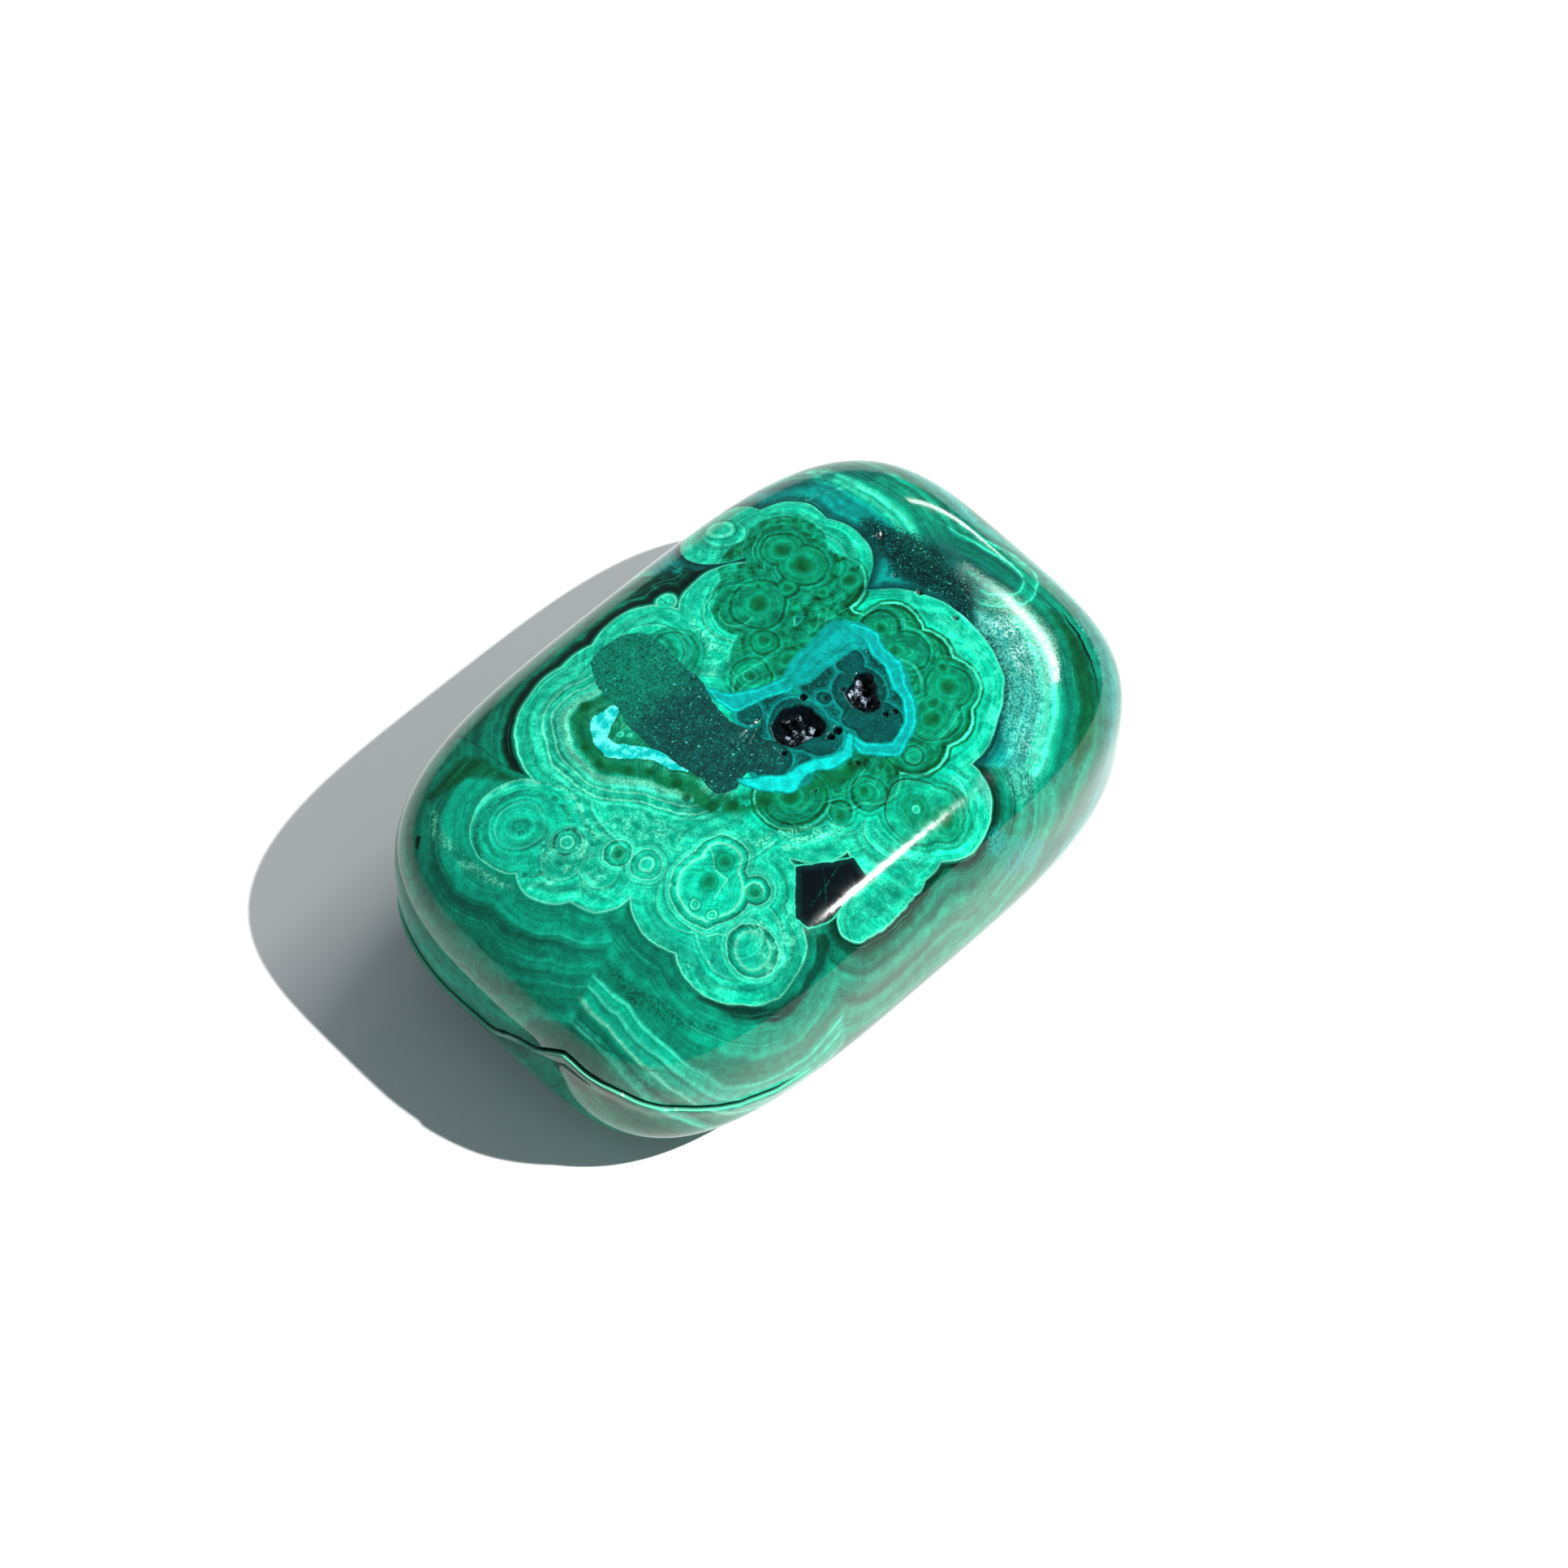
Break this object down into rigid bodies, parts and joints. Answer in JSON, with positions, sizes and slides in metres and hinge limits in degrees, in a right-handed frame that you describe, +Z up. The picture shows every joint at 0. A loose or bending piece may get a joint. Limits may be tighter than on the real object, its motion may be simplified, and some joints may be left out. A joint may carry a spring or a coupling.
{
  "type": "malachite specimen",
  "caption": "Tumbled and polished malachite palm stone: a rounded rectangular pillow with small crystal-lined pits in its top face and a natural fissure round one end.",
  "frame": {"origin": "on the surface that the stone rests on, under the middle of its bounding box", "axes": "+X along the stone's length, away from the end with the fissure; +Y across its width; +Z up through its top face"},
  "size_m": [0.052, 0.035, 0.0207],
  "materials": {
    "polished_malachite": "glossy polished stone with concentric light and dark green bands, a turquoise ribbon and dark granular patches"
  },
  "bodies": {
    "root": {"malachite_stone": "polished_malachite"}
  },
  "joints": []
}
